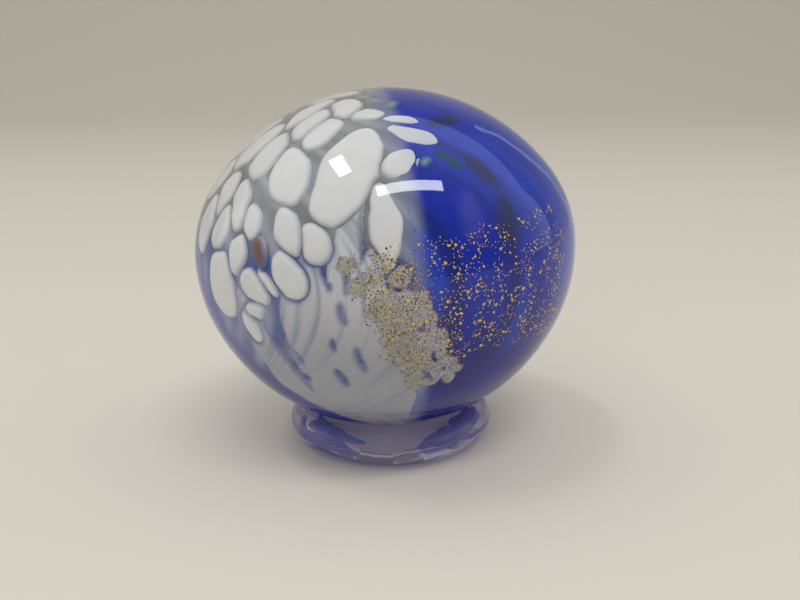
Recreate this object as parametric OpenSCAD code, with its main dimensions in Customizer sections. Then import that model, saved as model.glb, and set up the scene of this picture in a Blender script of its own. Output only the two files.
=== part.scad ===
// Solid glass paperweight: a clear-cased globe with opal chips, a cobalt overlay and metal leaf, on an applied
// foot ring. The origin is on the resting plane, under the middle of the globe; +Z is up and -Y is the front.
// Places on the globe are given as a longitude, seen from above and counted from +X, and a latitude, which is
// the slope of the glass there. Lengths on the globe are in degrees too, so they follow its size.

/* [Globe] */
// Width of the globe across its widest line
globe_w = 80; // [74:1:90]
// Height by which the crown is flatter than a full ball
crown_flat = 7; // [4:0.5:9]
// Height by which the base is flatter than a full ball
base_flat = 2; // [1.5:0.25:4]
// Length by which the shoulder's radius is under the crown's height
shoulder_tuck = 7; // [5:0.5:10]
// Length by which the belly's radius is under the base's depth
belly_tuck = 4; // [3:0.5:8]
// Angle that the globe leans on its foot
globe_lean = 2.8; // [0:0.2:4]

/* [Foot] */
// Outer radius of the foot ring
foot_r = 22.5; // [21:0.5:25]
// Inner radius of the foot ring
foot_bore_r = 12; // [10:0.5:13]
// Height of the foot ring
foot_h = 7.2; // [6.5:0.1:9]
// Height that the foot ring laps up the globe's base
foot_lap = 3; // [2.6:0.1:3.6]
// Sideways set of the foot ring from the middle of the globe
foot_set = 0.75; // [0:0.05:1.5]
// Radius of the cobalt streaks in the foot ring
foot_streak_r = 1.2; // [0.6:0.1:1.6]
// Radius of the ground pontil mark under the globe
pontil_r = 6; // [4:0.5:8]
// Depth of the pontil mark
pontil_depth = 0.6; // [0.3:0.1:1]

/* [Layers] */
// Thickness of the clear casing over the colour
casing_t = 5; // [4:0.25:7]
// Thickness of the chips and of the cobalt overlay
colour_t = 2; // [1:0.25:2.5]
// Room for the metal leaf between the colour and the casing
leaf_gap = 0.2; // [0.18:0.02:0.4]
// Thickness of the metal leaf
leaf_t = 0.1; // [0.04:0.02:0.1]

/* [Colour zones] */
// Longitude of the cobalt's front seam
seam_lon = 280; // [279:0.5:282]
// Longitude of the cobalt's back seam
back_seam_lon = 100; // [96:1:110]
// Angle that the opal side reaches down past the middle of the globe
opal_edge = 20.7; // [20.2:0.1:22]
// Width of the pale trail in the cobalt
trail_w = 1; // [0.6:0.1:1.6]

/* [Leaf] */
// Number of rows of gold flakes
gold_rows = 9; // [5:1:12]
// Number of columns of gold flakes
gold_columns = 15; // [8:1:18]
// Radius of the largest gold flake
gold_flake_r = 0.6; // [0.3:0.05:0.8]
// Number of rows of silver tiles
silver_rows = 14; // [8:1:16]
// Radius of a silver tile
silver_tile_r = 1.1; // [0.8:0.05:1.2]

/* [Hidden] */
$fn = 72;

globe_r = globe_w / 2;
crown_h = globe_r - crown_flat;
base_h = globe_r - base_flat;
shoulder_r = crown_h - shoulder_tuck;
belly_r = base_h - belly_tuck;
globe_z = foot_h - foot_lap + base_h;
colour_inset = casing_t + leaf_gap;
bed_inset = colour_inset + colour_t;
colour_r = globe_r - colour_inset;
degree = colour_r * PI / 180;
beyond = 2 * globe_w;

// Direction of the opal side's middle
opal_lon = 316;
opal_lat = 38.5;
opal_reach = colour_r * sin(opal_edge);

// Chips: [longitude, latitude, length, width, turn of the length from north towards east], all in degrees
CROWN_CHIPS = [
    [258, 49, 31, 14.5, 14], [234, 76, 11, 6.5, -38], [264, 72, 8, 5, 90], [236, 63, 12, 6.5, 10],
    [198, 70, 15, 6.5, -20], [163, 77, 13, 6.5, 0], [219, 66, 12, 6.5, -9]
];
SHOULDER_CHIPS = [
    [233, 47.5, 17.5, 9.5, -34], [213, 52.5, 15, 8.5, -10], [272, 32.5, 21, 6, -6], [241, 28.5, 12.5, 6, -32],
    [216, 37.5, 13, 5.5, -30], [195, 54, 16, 9, 5], [250.5, 24, 10, 6, -32]
];
FLANK_CHIPS = [
    [243, 8, 10, 6.5, -30], [229.5, 0, 9, 5.5, -50], [235, 4, 6, 2, -50], [214, -2, 15, 10.5, -10],
    [228.5, -8.5, 5.5, 3, 80], [225, -14.5, 6.5, 3.5, -30], [222, 14, 9, 5, 15], [211, 23.5, 9.5, 6.5, 10],
    [203, 38.5, 12, 6.5, -20], [225, 31, 7, 4, -34]
];
BACK_CHIPS = [
    [178, 53, 16, 9, 0], [186, 40, 12, 8, 20], [198, 22, 13, 8, -10], [152, 63, 14, 7.5, 20],
    [130, 70, 14, 7, 0], [145, 49, 9, 6.5, 0]
];
SEAM_CHIPS = [[278.5, 52, 9, 7, 55], [290, 61, 12, 5.5, -56], [287, 67.5, 7.5, 4, -60]];
GREEN_CHIPS = [[290, 50, 5.5, 4, 55], [290, 77, 7, 5, 40], [246, 85, 6, 4, -27]];
BROWN_CHIPS = [[232, 17.5, 9.5, 5, -31]];
TEAL_CHIPS = [[300, 50, 11, 4.5, -38]];
VIOLET_WISPS = [[299, 30, 14, 8, 10], [2, 20, 16, 5, 30], [60, 30, 22, 7, 40]];
SLATE_WISPS = [[315, 64, 13, 5, -80], [311, 45, 13, 6, -15], [312, 25, 16, 6, 8], [20, 40, 24, 8, 50]];

// Opal skirt: the plane that it is laid out on, its streaks [top x, top y, bottom x, bottom y, width]
// and its slits [x, y, length, width, turn], in degrees from the middle of that plane
skirt_lon = 252;
skirt_lat = -15;
SKIRT_STREAKS = [
    [-28, 9, -5, -45, 11], [-10.5, 15, 0, -46, 10], [-3, 24, 3, -43, 11.5],
    [7.5, 33, 8.5, -43, 13], [15, 22, 14, -43, 12]
];
SKIRT_SLITS = [
    [3, 13, 1.5, 0.8, -15], [7.8, 13.5, 4, 0.7, 0], [6.1, 6.2, 5.5, 1.6, 0], [-10, -7, 6, 1, -30],
    [-10.3, -15.5, 4, 3, -30], [2.3, -3.2, 3.5, 0.8, -15], [1.7, -15.3, 6, 1.5, -10], [8.4, -8.7, 7, 0.8, 0]
];

// Pale trail: turn and distance of the flat plane that it lies in, where it starts beside the crown, and its
// lowest end below the widest line
trail_turn = 12;
trail_set = 0.362 * colour_r;
trail_start = 0.431 * colour_r;
trail_drop = 0.345 * colour_r;

// Leaf fields: [first longitude, last longitude, first latitude, last latitude]
GOLD_FIELD = [268, 336, 22, -25];
SILVER_FIELD = [258, 276, 14, -37];
silver_columns = 5;
silver_drift = 0.37;
gold_draws = rands(-1, 1, 4 * gold_rows * gold_columns, 12);
silver_draws = rands(-1, 1, 4 * silver_rows * silver_columns, 5);

// Foot streaks: [first angle, sweep] round the foot ring
FOOT_STREAKS = [[195, 55], [290, 60], [60, 70]];
foot_round_r = foot_h / 2;

// The profile is made of two tangent arcs above the widest line and two below it. These give the height that
// the polar arc's centre lies past the widest line, and the slope at which the two arcs meet.
function polar_drop(pole, r) = (pow(globe_r - r, 2) - pow(pole - r, 2)) / (2 * (pole - r));
function meeting_slope(pole, r) = atan2(polar_drop(pole, r), globe_r - r);

// Place of the skin at a slope, on the surface that lies an inset below the globe's own: [radius, height]
function arc_point(pole, r, slope, inset) = slope < meeting_slope(pole, r)
    ? [globe_r - r + (r - inset) * cos(slope), (r - inset) * sin(slope)]
    : let (polar_r = pole + polar_drop(pole, r) - inset)
        [polar_r * cos(slope), polar_r * sin(slope) - polar_drop(pole, r)];
function skin_point(slope, inset) = slope < 0
    ? [arc_point(base_h, belly_r, -slope, inset)[0], -arc_point(base_h, belly_r, -slope, inset)[1]]
    : arc_point(crown_h, shoulder_r, slope, inset);

// Half of the profile from the widest line to a pole, drawn upwards
module half_profile(pole, r, inset) {
    drop = polar_drop(pole, r);
    meeting = arc_point(pole, r, meeting_slope(pole, r), inset);
    intersection() {
        translate([0, -drop]) circle(r = pole + drop - inset);
        translate([0, meeting[1]]) square([meeting[0], pole]);
    }
    intersection() {
        translate([globe_r - r, 0]) circle(r = r - inset);
        translate([globe_r - r, 0]) square([r, meeting[1]]);
    }
    square([globe_r - r, meeting[1]]);
}

module profile(inset) {
    half_profile(crown_h, shoulder_r, inset);
    mirror([0, 1]) half_profile(base_h, belly_r, inset);
}

// Solid globe whose surface lies an inset below the outer one, about its own middle
module globe(inset) rotate_extrude() profile(inset);

// Layer of glass that holds the colour, from one longitude round to another
module colour_layer(from = 0, to = 360)
    rotate([0, 0, from]) rotate_extrude(angle = to - from) difference() {
        profile(colour_inset);
        profile(bed_inset);
    }

// Puts what belongs to the globe at its height and lean on the foot
module seated() translate([0, 0, globe_z]) rotate([0, -globe_lean, 0]) children();

// Puts a child flat on the surface at an inset: its +Z points out of the glass, +Y north and +X east
module on_skin(lon, lat, inset, turn = 0) {
    place = skin_point(lat, inset);
    rotate([0, 0, lon]) translate([place[0], 0, place[1]]) rotate([0, 90 - lat, 0])
        rotate([0, 0, 90 - turn]) children();
}

// Straight prism through the colour layer, with the child's outline
module through_layer(lon, lat, turn = 0)
    on_skin(lon, lat, colour_inset, turn)
        translate([0, 0, -colour_r / 2]) linear_extrude(colour_r / 2 + casing_t) children();

module ellipse(length, width) scale([width * degree / 2, length * degree / 2]) circle(r = 1);

// Prisms of a list of chips
module chip_prisms(chips) for (c = chips) through_layer(c[0], c[1], c[4]) ellipse(c[2], c[3]);

// Chips rolled flush into the colour layer
module chip_group(chips) seated() intersection() {
    colour_layer();
    chip_prisms(chips);
}

// Tilted half space that the opal side lies in
module above_opal_edge()
    rotate([0, 90 - opal_lat, opal_lon]) translate([-beyond, -beyond, -opal_reach])
        cube([2 * beyond, 2 * beyond, 2 * beyond]);

module opal_layer() intersection() {
    colour_layer(back_seam_lon, seam_lon);
    above_opal_edge();
}

module streak(s) {
    rise = [s[0] - s[2], s[1] - s[3]];
    translate([s[0] + s[2], s[1] + s[3]] * degree / 2) rotate(-atan2(rise[0], rise[1])) ellipse(norm(rise), s[4]);
}

module skirt_outline() difference() {
    for (s = SKIRT_STREAKS) streak(s);
    for (s = SKIRT_SLITS) translate([s[0], s[1]] * degree) rotate(-s[4]) ellipse(s[2], s[3]);
}

module skirt_prism() through_layer(skirt_lon, skirt_lat) skirt_outline();

module trail_slab()
    rotate([0, 0, trail_turn]) translate([trail_start, -trail_set - trail_w / 2, -trail_drop])
        cube([beyond, trail_w, beyond]);

// Thin polygonal leaf lying in the gap between the colour and the casing
module leaf(lon, lat, r, sides, turn)
    on_skin(lon, lat, colour_inset, turn) translate([0, 0, (leaf_gap - leaf_t) / 2])
        cylinder(r = r, h = leaf_t, $fn = sides);

module clear_casing() color("aliceblue", 0.35) seated() difference() {
    globe(0);
    globe(casing_t);
    // the pontil mark, ground as a shallow dish
    dish_r = (pow(pontil_r, 2) + pow(pontil_depth, 2)) / (2 * pontil_depth);
    translate([0, 0, pontil_depth - base_h - dish_r]) sphere(r = dish_r);
}

module core_gather() color("lightcyan", 0.5) seated() globe(bed_inset);

// Clear glass that was pressed up between the chips when they were rolled flush
module clear_matrix() color("azure", 0.5) seated() difference() {
    opal_layer();
    chip_prisms(concat(CROWN_CHIPS, SHOULDER_CHIPS, FLANK_CHIPS, BACK_CHIPS));
    chip_prisms(concat(SEAM_CHIPS, GREEN_CHIPS, BROWN_CHIPS));
    skirt_prism();
}

module cobalt_overlay() color("mediumblue") seated() {
    difference() {
        colour_layer(seam_lon, 360 + back_seam_lon);
        chip_prisms(concat(SEAM_CHIPS, GREEN_CHIPS, TEAL_CHIPS, VIOLET_WISPS, SLATE_WISPS));
        trail_slab();
    }
    difference() {
        colour_layer(back_seam_lon, seam_lon);
        above_opal_edge();
    }
}

module opal_skirt() color("gainsboro") seated() difference() {
    intersection() {
        opal_layer();
        skirt_prism();
    }
    chip_prisms(concat(CROWN_CHIPS, SHOULDER_CHIPS, FLANK_CHIPS, BROWN_CHIPS));
}

module crown_chips() color("whitesmoke") chip_group(CROWN_CHIPS);
module shoulder_chips() color("whitesmoke") chip_group(SHOULDER_CHIPS);
module flank_chips() color("whitesmoke") chip_group(FLANK_CHIPS);
module back_chips() color("whitesmoke") chip_group(BACK_CHIPS);
module seam_chips() color("lightsteelblue") chip_group(SEAM_CHIPS);
module green_chips() color("darkseagreen") chip_group(GREEN_CHIPS);
module brown_chip() color("rosybrown") chip_group(BROWN_CHIPS);
module teal_chip() color("darkcyan") chip_group(TEAL_CHIPS);
module violet_wisps() color("slateblue") chip_group(VIOLET_WISPS);
module slate_wisps() color("darkslateblue") chip_group(SLATE_WISPS);

module pale_trail() color("cornflowerblue") seated() intersection() {
    colour_layer();
    trail_slab();
}

module gold_leaf() color("goldenrod") seated()
    for (row = [0 : gold_rows - 1], column = [0 : gold_columns - 1]) {
        first = 4 * (row * gold_columns + column);
        step = [(GOLD_FIELD[1] - GOLD_FIELD[0]) / gold_columns, (GOLD_FIELD[3] - GOLD_FIELD[2]) / gold_rows];
        leaf(
            GOLD_FIELD[0] + step[0] * (column + 0.5 + gold_draws[first] / 4),
            GOLD_FIELD[2] + step[1] * (row + 0.5 + gold_draws[first + 1] / 4),
            gold_flake_r * (0.7 + 0.3 * gold_draws[first + 2]),
            5,
            180 * gold_draws[first + 3]
        );
    }

module silver_leaf() color("silver") seated()
    for (row = [0 : silver_rows - 1], column = [0 : silver_columns - 1]) {
        first = 4 * (row * silver_columns + column);
        lat = SILVER_FIELD[2] + (SILVER_FIELD[3] - SILVER_FIELD[2]) * (row + 0.5) / silver_rows;
        drift = silver_drift * (SILVER_FIELD[2] - lat);
        step = (SILVER_FIELD[1] - SILVER_FIELD[0]) / silver_columns;
        leaf(
            SILVER_FIELD[0] + drift + step * (column + 0.5 + silver_draws[first] / 8),
            lat + silver_draws[first + 1] / 4,
            silver_tile_r * (0.85 + 0.15 * silver_draws[first + 2]),
            6,
            180 * silver_draws[first + 3]
        );
    }

module foot_profile() {
    for (r = [foot_bore_r + foot_round_r, foot_r - foot_round_r])
        translate([r, foot_round_r]) circle(r = foot_round_r);
    translate([foot_bore_r + foot_round_r, 0]) square([foot_r - foot_bore_r - foot_h, foot_h]);
}

module foot_ring() color("lavender", 0.6) difference() {
    translate([foot_set, 0, 0]) rotate_extrude() foot_profile();
    seated() globe(0);
    foot_streaks();
}

module foot_streaks() color("royalblue")
    translate([foot_set, 0, foot_round_r]) for (s = FOOT_STREAKS)
        rotate([0, 0, s[0]]) rotate_extrude(angle = s[1])
            translate([foot_r - foot_round_r, 0]) circle(r = foot_streak_r);

clear_casing();
core_gather();
clear_matrix();
cobalt_overlay();
opal_skirt();
crown_chips();
shoulder_chips();
flank_chips();
back_chips();
seam_chips();
green_chips();
brown_chip();
teal_chip();
violet_wisps();
slate_wisps();
pale_trail();
gold_leaf();
silver_leaf();
foot_ring();
foot_streaks();
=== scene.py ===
import logging
import math
from dataclasses import dataclass, field
from enum import Enum
from functools import cached_property

import bmesh
import bpy
import numpy as np
from mathutils import Matrix, Vector, bvhtree, kdtree, noise


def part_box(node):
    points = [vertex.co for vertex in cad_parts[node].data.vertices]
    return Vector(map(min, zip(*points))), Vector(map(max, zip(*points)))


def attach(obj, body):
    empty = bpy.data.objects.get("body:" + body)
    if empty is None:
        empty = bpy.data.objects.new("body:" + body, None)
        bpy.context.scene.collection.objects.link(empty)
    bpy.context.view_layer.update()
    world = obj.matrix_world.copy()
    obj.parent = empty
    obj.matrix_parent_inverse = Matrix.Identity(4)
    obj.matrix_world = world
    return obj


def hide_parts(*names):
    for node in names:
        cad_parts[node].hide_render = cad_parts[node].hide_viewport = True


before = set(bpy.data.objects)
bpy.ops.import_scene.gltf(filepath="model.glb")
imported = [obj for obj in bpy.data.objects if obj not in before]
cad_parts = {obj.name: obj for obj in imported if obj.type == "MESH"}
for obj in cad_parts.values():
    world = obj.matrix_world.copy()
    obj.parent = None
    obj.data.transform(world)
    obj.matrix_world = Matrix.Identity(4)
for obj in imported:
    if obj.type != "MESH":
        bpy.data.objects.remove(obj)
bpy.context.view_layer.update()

# The looks of a solid glass paperweight: a flattened globe of clear glass on an applied foot, with opal
# chips, cobalt glass and metal leaf in a thin layer under the clear casing. Sizes are in millimetres unless
# a name says otherwise, directions on the globe are [longitude, latitude] of its skin in degrees, and the
# front of the globe is at longitude 270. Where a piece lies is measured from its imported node.

MM = 0.001
BODY = "root"
LOG = logging.getLogger("paperweight")

Colour = tuple[float, float, float, float]


def linear(code: str) -> Colour:
    """Turns an sRGB hex colour into linear light.

    Args:
        code: Six hex digits after a hash.

    Returns:
        Red, green, blue and full opacity.
    """
    parts = [int(code[i : i + 2], 16) / 255 for i in (1, 3, 5)]
    red, green, blue = (c / 12.92 if c <= 0.04045 else ((c + 0.055) / 1.055) ** 2.4 for c in parts)
    return red, green, blue, 1.0


def add_node(
    tree: bpy.types.NodeTree, kind: str, settings: dict | None = None, inputs: dict | None = None
) -> bpy.types.Node:
    """Adds a node with its settings, and with a value or a link for each input that is given.

    Args:
        tree: The node tree that it goes into.
        kind: The node's type.
        settings: Properties of the node itself.
        inputs: Values or sockets, by the input's name or index.

    Returns:
        The new node.
    """
    made = tree.nodes.new(kind)
    for name, value in (settings or {}).items():
        setattr(made, name, value)
    for key, value in (inputs or {}).items():
        if isinstance(value, bpy.types.NodeSocket):
            tree.links.new(value, made.inputs[key])
        else:
            made.inputs[key].default_value = value
    return made


def smooth(value: np.ndarray) -> np.ndarray:
    """Eases a share from 0 to 1 at both of its ends."""
    share = np.clip(value, 0, 1)
    return share * share * (3 - 2 * share)


def soft_least(one: np.ndarray, other: np.ndarray, blend: float) -> np.ndarray:
    """Gives the lesser of two distances, rounded off where they are nearly equal.

    Args:
        one: First distances.
        other: Second distances.
        blend: How near they are where the rounding starts.

    Returns:
        The rounded lesser distances.
    """
    share = np.clip(0.5 + 0.5 * (other - one) / blend, 0, 1)
    return other * (1 - share) + one * share - blend * share * (1 - share)


def direction(lon: float, lat: float) -> np.ndarray:
    """Gives the outward direction at a longitude and latitude."""
    turn, rise = math.radians(lon), math.radians(lat)
    return np.array((math.cos(rise) * math.cos(turn), math.cos(rise) * math.sin(turn), math.sin(rise)))


def compass(out: np.ndarray) -> tuple[np.ndarray, np.ndarray]:
    """Gives east and north on the skin where it faces a direction."""
    east = np.cross((0.0, 0.0, 1.0), out)
    east /= np.linalg.norm(east)
    return east, np.cross(out, east)


@dataclass(frozen=True)
class GlobeForm:
    """Shape of the globe: two tangent arcs above its widest line and two below it."""

    radius: float
    height: float
    crown: float = 33.0
    base: float = 38.0
    shoulder: float = 26.0
    belly: float = 34.0
    lean: float = 2.8
    pontil_radius: float = 6.0
    pontil_depth: float = 0.6
    colour_inset: float = 5.2
    bed_inset: float = 7.2

    @classmethod
    def from_frame(cls) -> "GlobeForm":
        """Takes the globe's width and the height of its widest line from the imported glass."""
        low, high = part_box("clear_casing")
        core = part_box("core_gather")[0]
        return cls(radius=(high.y - low.y) / 2 / MM, height=core.z / MM + cls.base - cls.bed_inset)

    def skin(self, out: np.ndarray, inset: np.ndarray | float = 0.0) -> np.ndarray:
        """Places points on the globe's skin, or under it, about the globe's own middle.

        Args:
            out: Directions that the skin faces, one a row.
            inset: Depth under the outer skin.

        Returns:
            Points in millimetres, one a row.
        """
        slope = np.arcsin(np.clip(out[:, 2], -1, 1))
        up = slope >= 0
        pole = np.where(up, self.crown, self.base)
        arc = np.where(up, self.shoulder, self.belly)
        drop = ((self.radius - arc) ** 2 - (pole - arc) ** 2) / (2 * (pole - arc))
        meeting = np.arctan2(drop, self.radius - arc)
        steep = np.abs(slope)
        polar = pole + drop
        round_side = steep < meeting
        reach = np.where(round_side, self.radius - arc + arc * np.cos(steep), polar * np.cos(steep))
        rise = np.where(round_side, arc * np.sin(steep), polar * np.sin(steep) - drop)
        level = np.maximum(np.hypot(out[:, 0], out[:, 1]), 1e-9)
        outer = np.stack(
            (reach * out[:, 0] / level, reach * out[:, 1] / level, np.where(up, rise, -rise)), axis=1
        )
        return outer - np.reshape(inset, (-1, 1)) * out

    def seat(self, points: np.ndarray) -> np.ndarray:
        """Leans points of the globe and lifts them on to the foot, and gives them in metres."""
        c, s = math.cos(math.radians(self.lean)), math.sin(math.radians(self.lean))
        x, y, z = points.T
        return np.stack((c * x - s * z, y, s * x + c * z + self.height), axis=1) * MM

    def unseat(self, points: np.ndarray) -> np.ndarray:
        """Takes points in metres back into the globe's own upright frame, in millimetres."""
        c, s = math.cos(math.radians(self.lean)), math.sin(math.radians(self.lean))
        x, y, z = (points / MM).T
        z = z - self.height
        return np.stack((c * x + s * z, y, c * z - s * x), axis=1)

    def under_side(self, x: np.ndarray, y: np.ndarray) -> np.ndarray:
        """Gives the height of the globe's underside above the table.

        Args:
            x: Places across.
            y: Places along.

        Returns:
            Heights in millimetres.
        """
        tuck = self.base - self.belly
        drop = ((self.radius - self.belly) ** 2 - tuck**2) / (2 * tuck)
        middle = -drop * math.sin(math.radians(self.lean))
        level = self.height + drop * math.cos(math.radians(self.lean))
        return level - np.sqrt(np.maximum((self.base + drop) ** 2 - (x - middle) ** 2 - y**2, 0))


@dataclass
class Net:
    """Even net of triangles over the whole globe, whose points are directions that the skin faces."""

    form: GlobeForm
    level: int
    drift_seed: int = 7

    def __post_init__(self) -> None:
        """Makes the net by dividing an icosahedron."""
        bm = bmesh.new()
        bmesh.ops.create_icosphere(bm, subdivisions=self.level, radius=1.0)
        mesh = bpy.data.meshes.new("net")
        bm.to_mesh(mesh)
        bm.free()
        flat = np.zeros(len(mesh.vertices) * 3, np.float32)
        mesh.vertices.foreach_get("co", flat)
        corners = np.zeros(len(mesh.loops), np.int32)
        mesh.loops.foreach_get("vertex_index", corners)
        bpy.data.meshes.remove(mesh)
        out = flat.reshape(-1, 3).astype(float)
        self.out = out / np.linalg.norm(out, axis=1, keepdims=True)
        self.faces = corners.reshape(-1, 3)
        self.at = self.form.skin(self.out, self.form.colour_inset)

    @cached_property
    def stirred(self) -> np.ndarray:
        """Places in the colour layer, pushed about as hot glass drifts, so outlines on them are uneven."""
        noise.seed_set(self.drift_seed)
        drift = np.array(
            [
                noise.noise_vector(Vector(p) / 6.5) * 0.75 + noise.noise_vector(Vector(p) / 2.3) * 0.22
                for p in self.at
            ]
        )
        return self.at + drift


@dataclass(frozen=True)
class Chip:
    """One chip of glass as it was rolled into the layer, with the half sizes of its oval outline."""

    middle: np.ndarray
    out: np.ndarray
    long_axis: np.ndarray
    half_length: float
    half_width: float

    def measure(self, points: np.ndarray, faces_out: np.ndarray) -> tuple[np.ndarray, np.ndarray]:
        """Measures how far out of the chip's middle each point lies.

        Args:
            points: Places in the colour layer.
            faces_out: The skin's direction at each of them.

        Returns:
            The share of the way to the oval's edge, and the oval's half size in that direction.
        """
        across = np.cross(self.out, self.long_axis)
        rel = points - self.middle
        u, v = rel @ self.long_axis, rel @ across
        share = np.hypot(u / self.half_length, v / self.half_width)
        half = np.hypot(u, v) / np.maximum(share, 1e-6)
        return np.where(faces_out @ self.out > 0.25, share, 9.0), half


def solids_of(node: str, form: GlobeForm) -> list[np.ndarray]:
    """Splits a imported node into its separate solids.

    Args:
        node: The node's name.
        form: The globe that it belongs to.

    Returns:
        For each solid, its points in the globe's own frame.
    """
    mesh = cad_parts[node].data
    co = np.zeros(len(mesh.vertices) * 3, np.float32)
    mesh.vertices.foreach_get("co", co)
    corners = np.zeros(len(mesh.loops), np.int32)
    mesh.loops.foreach_get("vertex_index", corners)
    unique, index = np.unique(np.round(co.reshape(-1, 3) / MM, 3), axis=0, return_inverse=True)
    tris = index.reshape(-1)[corners].reshape(-1, 3)
    label = np.arange(len(unique))
    while True:
        least = label[tris].min(axis=1)
        new = label.copy()
        for k in range(3):
            np.minimum.at(new, tris[:, k], least)
        new = new[new]
        if np.array_equal(new, label):
            break
        label = new
    points = form.unseat(unique * MM)
    return [points[label == k] for k in np.unique(label)]


def outline_moments(flat: np.ndarray) -> tuple[np.ndarray, np.ndarray]:
    """Measures the hull of a flat cloud of points.

    Args:
        flat: Points on a plane, one a row.

    Returns:
        The hull's middle and its covariance over its area.
    """
    order = flat[np.lexsort((flat[:, 1], flat[:, 0]))]

    def half(points: np.ndarray) -> list[np.ndarray]:
        """Walks one side of the hull."""
        kept: list[np.ndarray] = []
        for p in points:
            while len(kept) > 1:
                a, b = kept[-1] - kept[-2], p - kept[-2]
                if a[0] * b[1] - a[1] * b[0] > 0:
                    break
                kept.pop()
            kept.append(p)
        return kept[:-1]

    ring = np.array(half(order) + half(order[::-1]))
    after = np.roll(ring, -1, axis=0)
    cross = ring[:, 0] * after[:, 1] - ring[:, 1] * after[:, 0]
    area = cross.sum() / 2
    middle = ((ring + after) * cross[:, None]).sum(axis=0) / (6 * area)
    second = np.einsum("i,ij,ik->jk", cross, ring, ring) + np.einsum("i,ij,ik->jk", cross, after, after)
    mixed = np.einsum("i,ij,ik->jk", cross, ring, after)
    spread = (2 * second + mixed + mixed.T) / (24 * area)
    return middle, spread - np.outer(middle, middle)


def chips_of(node: str, net: Net) -> list[Chip]:
    """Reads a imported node's oval chips: where each lies and how it is turned.

    Args:
        node: The node's name.
        net: Net over the globe.

    Returns:
        The chips.
    """
    found = []
    for points in solids_of(node, net.form):
        middle = points.mean(axis=0)
        for _ in range(3):
            out = net.out[np.argmin(((net.at - middle) ** 2).sum(axis=1))]
            east, north = compass(out)
            flat_middle, spread = outline_moments(np.stack((points @ east, points @ north), axis=1))
            level = points @ out
            middle = east * flat_middle[0] + north * flat_middle[1] + out * level.max()
        sizes, axes = np.linalg.eigh(spread)
        lengthways = east * axes[0, 1] + north * axes[1, 1]
        found.append(Chip(middle, out, lengthways, 2 * math.sqrt(sizes[1]), 2 * math.sqrt(sizes[0])))
    return found


def oval_edge(node: str, net: Net) -> np.ndarray:
    """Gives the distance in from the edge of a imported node's ovals, below 0 outside them."""
    edge = np.full(len(net.at), -50.0)
    for chip in chips_of(node, net):
        share, half = chip.measure(net.stirred, net.out)
        edge = np.maximum(edge, (1.0 - share) * half)
    return edge


def packed_edge(node: str, net: Net) -> np.ndarray:
    """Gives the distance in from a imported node's own outline at each point of a net, below 0 outside it.

    Args:
        node: The node's name.
        net: Net over the globe.

    Returns:
        The distance to the node's nearest side wall, positive where the node lies under the point.
    """
    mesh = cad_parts[node].data
    co = np.zeros(len(mesh.vertices) * 3, np.float32)
    mesh.vertices.foreach_get("co", co)
    corners = np.zeros(len(mesh.loops), np.int32)
    mesh.loops.foreach_get("vertex_index", corners)
    points, tris = net.form.unseat(co.reshape(-1, 3).astype(float)), corners.reshape(-1, 3)
    a, b, c = points[tris[:, 0]], points[tris[:, 1]], points[tris[:, 2]]
    faces_to, middle = np.cross(b - a, c - a), (a + b + c) / 3
    lift = np.abs((faces_to * middle).sum(axis=1))
    lift /= np.maximum(np.linalg.norm(faces_to, axis=1) * np.linalg.norm(middle, axis=1), 1e-12)
    whole = bvhtree.BVHTree.FromPolygons(points.tolist(), tris.tolist())
    walls = bvhtree.BVHTree.FromPolygons(points.tolist(), tris[lift < 0.5].tolist())
    edge = np.full(len(net.at), -50.0)
    low, high = points.min(axis=0) - 3.0, points.max(axis=0) + 3.0
    for i in np.flatnonzero(((net.stirred > low) & (net.stirred < high)).all(axis=1)):
        out = Vector(net.out[i])
        spot = Vector(net.stirred[i]) - out
        away = walls.find_nearest(spot)[3]
        hit = whole.ray_cast(spot + 3.0 * out, -out, 5.0)[0]
        edge[i] = away if hit is not None else -away
    return edge


def solid_reach(node: str, net: Net) -> tuple[np.ndarray, np.ndarray]:
    """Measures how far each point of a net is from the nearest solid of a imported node.

    Args:
        node: The node's name.
        net: Net over the globe.

    Returns:
        The distances to the solids' middles, and the middles.
    """
    middles = np.array([points.mean(axis=0) for points in solids_of(node, net.form)])
    tree = kdtree.KDTree(len(middles))
    for i, middle in enumerate(middles):
        tree.insert(middle, i)
    tree.balance()
    return np.array([tree.find(spot)[2] for spot in net.stirred]), middles


class Layer(Enum):
    """What a part of the colour layer is made of."""

    CHIP = "chip"
    SKIRT = "skirt"
    MATRIX = "matrix"
    COBALT = "cobalt"


@dataclass(frozen=True)
class Palette:
    """Colours of the layer's glass."""

    opal: str = "#e2e4e6"
    # edge tones: partly the glass beneath showing through thinning opal, partly painted shade in the creases
    # between pieces
    opal_edge: str = "#b9c0cc"
    opal_edge_low: str = "#a9b4d6"
    skirt: str = "#d3d6dc"
    # the skirt's lower tone is painted shade, where the skirt faces down
    skirt_low: str = "#a8abb5"
    # the gap tones are painted shade: grey, and bluer lower down, for the dark seen through the clear glass
    # between the chips
    gap: str = "#85878b"
    gap_low: str = "#5c68a4"
    opal_haze: str = "#c3ccd8"
    skirt_line: str = "#8d98ae"
    cobalt: str = "#0628aa"
    cobalt_light: str = "#2c50cc"
    cobalt_dark: str = "#141f66"
    cobalt_far: str = "#4a60cc"
    violet: str = "#4048b4"
    slate: str = "#1c2a5c"
    cobalt_low: str = "#08168c"
    seam_haze: str = "#8d9cc6"


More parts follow.
